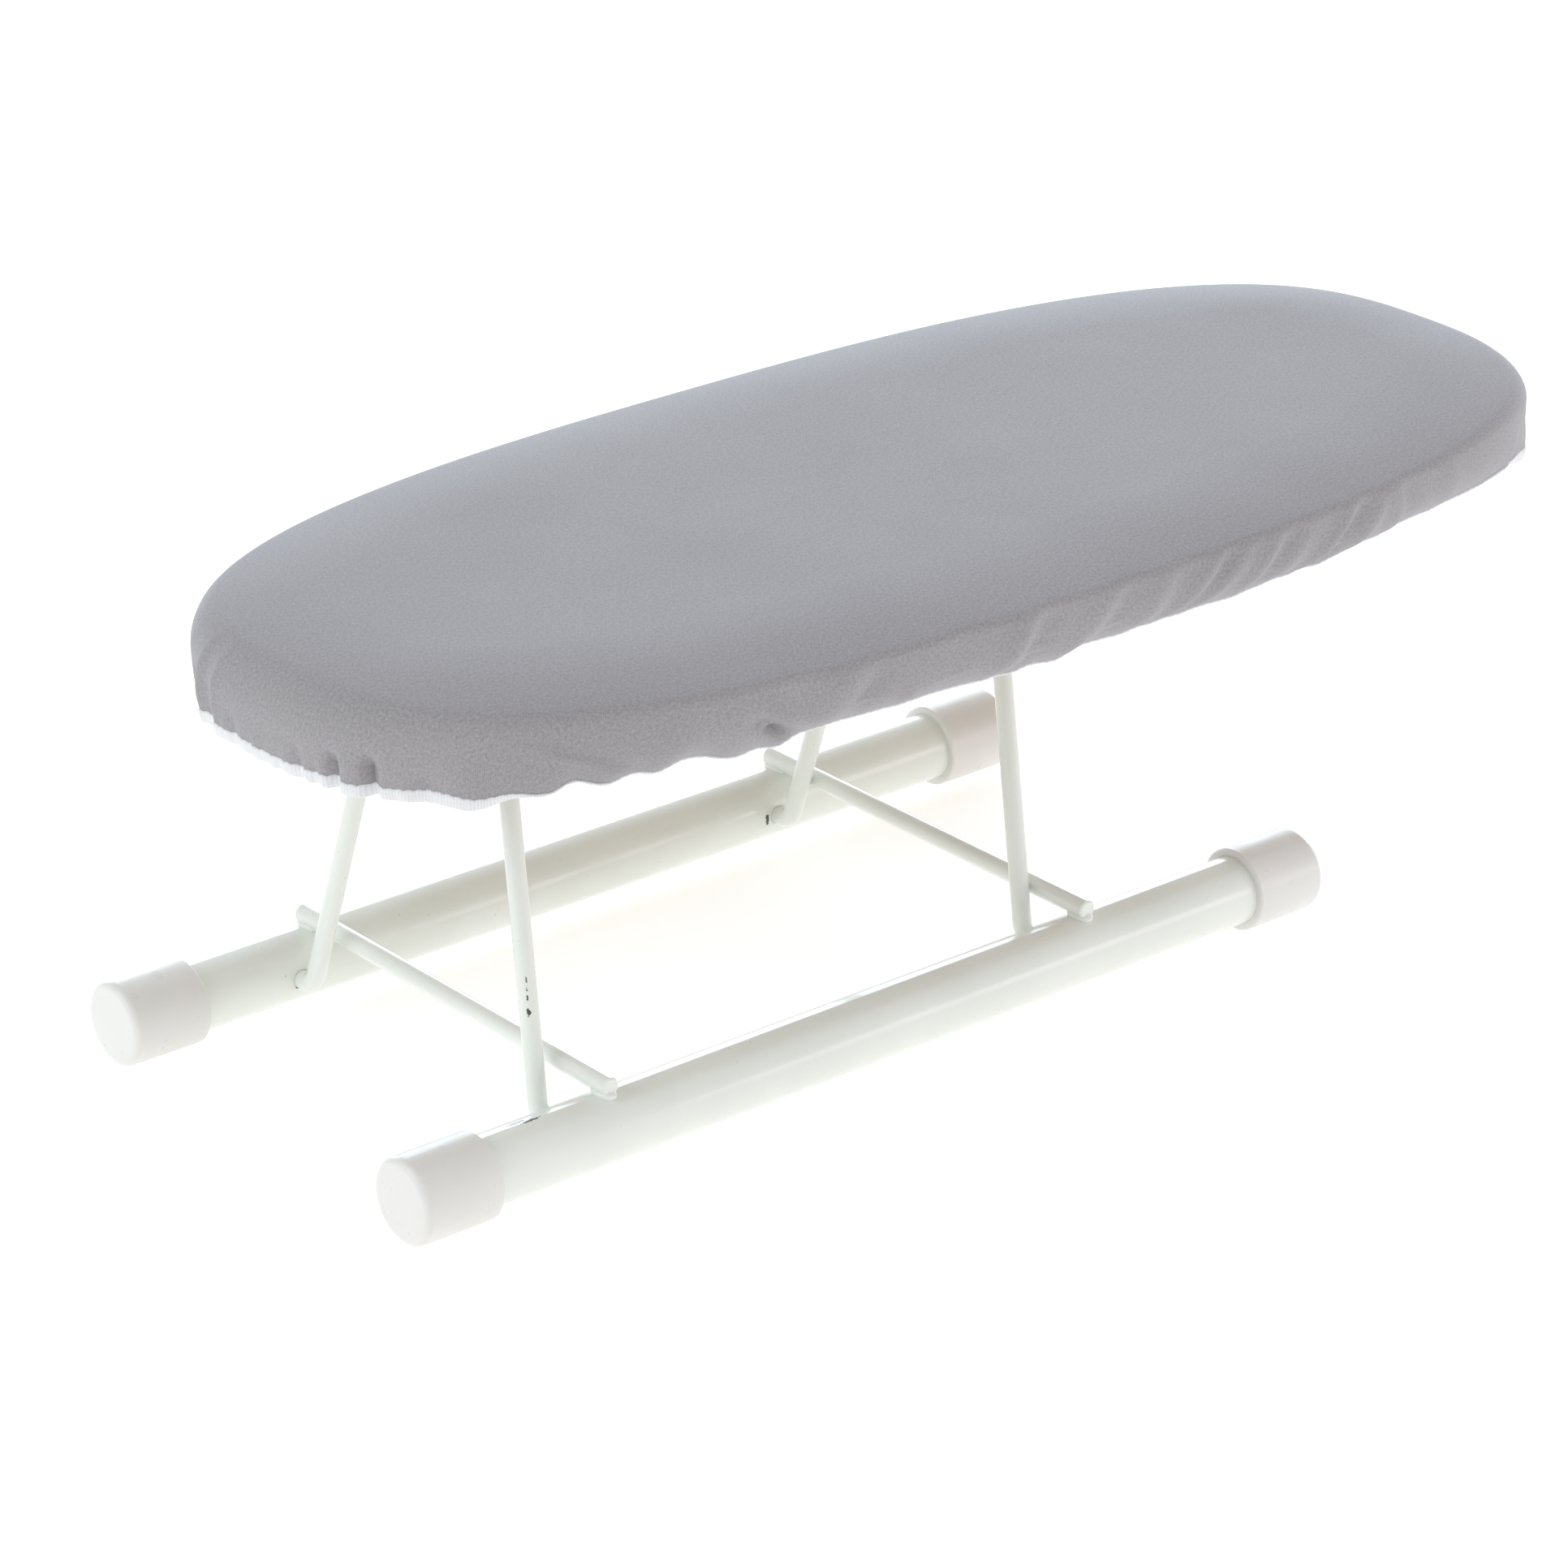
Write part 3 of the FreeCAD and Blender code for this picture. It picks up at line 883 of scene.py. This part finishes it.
def makePad(spec=padShape):
    points, normals, at = outlineRing(spec["around"])
    profile = padProfile(skirtShape(points, normals)[0], spec)
    obj, row, step = ringMesh("feltPad", spec["around"], len(profile))
    co = np.array([ringAt(points, normals, across, height) for across, height in profile])
    placeVertices(obj, co[row, step])
    fillLoop(obj, row, len(profile) - 1, spec["topSpans"])
    for vertex in obj.data.vertices[len(row):]:
        gap = np.hypot(points[:, 0] - vertex.co.x, points[:, 1] - vertex.co.y).min()
        vertex.co.z = coverHigh.z + domeAt(gap) - spec["underCover"]
    fillLoop(obj, row, 0, spec["topSpans"])
    smooth(obj, degrees=50)
    return obj


feltPad = makePad()
feltPad.data.materials.append(makeFelt())
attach(feltPad, "board")
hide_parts("felt_pad")
print("pad made")


# weld beads: lumps of paint-covered weld in the corners between wires and rails

weldShape = {
    "size": (0.0031, 0.0050, 0.0020),
    "lift": 0.0002,
    "lumps": 0.05,
    "lumpScale": 1.6,
    "lumpShift": 40,
    "voxel": 0.00035,
}


def makeWelds(spec=weldShape):
    beads = []
    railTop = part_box("right_rail")[1].z
    railLow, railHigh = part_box("left_rail")
    across = (railLow.y + railHigh.y) / 2
    for end in ("back", "front"):
        wireLow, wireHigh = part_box(end + "_cross_wire")
        for y in (-across, across):
            deselectAll()
            bpy.ops.mesh.primitive_ico_sphere_add(subdivisions=4, radius=1, location=(0, 0, 0))
            bead = bpy.context.object
            centre = Vector(((wireLow.x + wireHigh.x) / 2, y, railTop + spec["lift"]))
            for vertex in bead.data.vertices:
                n = vertex.co.copy()
                lump = 1 + spec["lumps"] * noise.noise(n * spec["lumpScale"] + centre * spec["lumpShift"])
                vertex.co = centre + Vector([n[i] * spec["size"][i] * lump for i in range(3)])
            beads.append(bead)
    deselectAll()
    for bead in beads:
        bead.select_set(True)
    bpy.context.view_layer.objects.active = beads[0]
    bpy.ops.object.join()
    welds = bpy.context.object
    welds.name = "crossWireWelds"
    remesh = welds.modifiers.new("remesh", "REMESH")
    remesh.mode = "VOXEL"
    remesh.voxel_size = spec["voxel"]
    applyModifiers(welds)
    smooth(welds, degrees=60)
    return welds


# finishes for the CAD nodes that stay; each chip in the paint has a middle and a reach

railChips = [
    ((-0.1985, -0.0720, 0.0242), (0.0060, 0.0012, 0.0012)),
    ((-0.1945, -0.0735, 0.0244), (0.0056, 0.0010, 0.0012)),
    ((-0.1806, 0.0626, 0.0126), (0.0016, 0.0014, 0.0034)),
    ((0.0045, 0.0626, 0.0130), (0.0012, 0.0014, 0.0036)),
]
legChips = [
    ((-0.1774, -0.0509, 0.0445), (0.0011, 0.0012, 0.0022)),
    ((-0.1770, -0.0500, 0.0476), (0.0006, 0.0007, 0.0036)),
    ((-0.1767, -0.0494, 0.0503), (0.0005, 0.0006, 0.0036)),
    ((-0.1764, -0.0488, 0.0532), (0.0005, 0.0006, 0.0034)),
]
railPaint = makePaint("railPaint", railChips)
wirePaint = makePaint("wirePaint", legChips)
finishes = {
    "rail_paint": railPaint,
    "wire_paint": wirePaint,
    "cap_plastic": makeCapPlastic(),
    "zinc_steel": makeZinc(),
    "fibreboard": makeFibreboard(),
}
slotOf = {s["node"]: s["material_slot"] for s in frame["record"]["subparts"]}
for name, node in nodes.items():
    finish = finishes.get(slotOf.get(name))
    if finish:
        node.data.materials.clear()
        node.data.materials.append(finish)

welds = makeWelds()
welds.data.materials.append(wirePaint)
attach(welds, "base")
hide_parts("cross_wire_welds")
print("finishes given and welds made")

deselectAll()
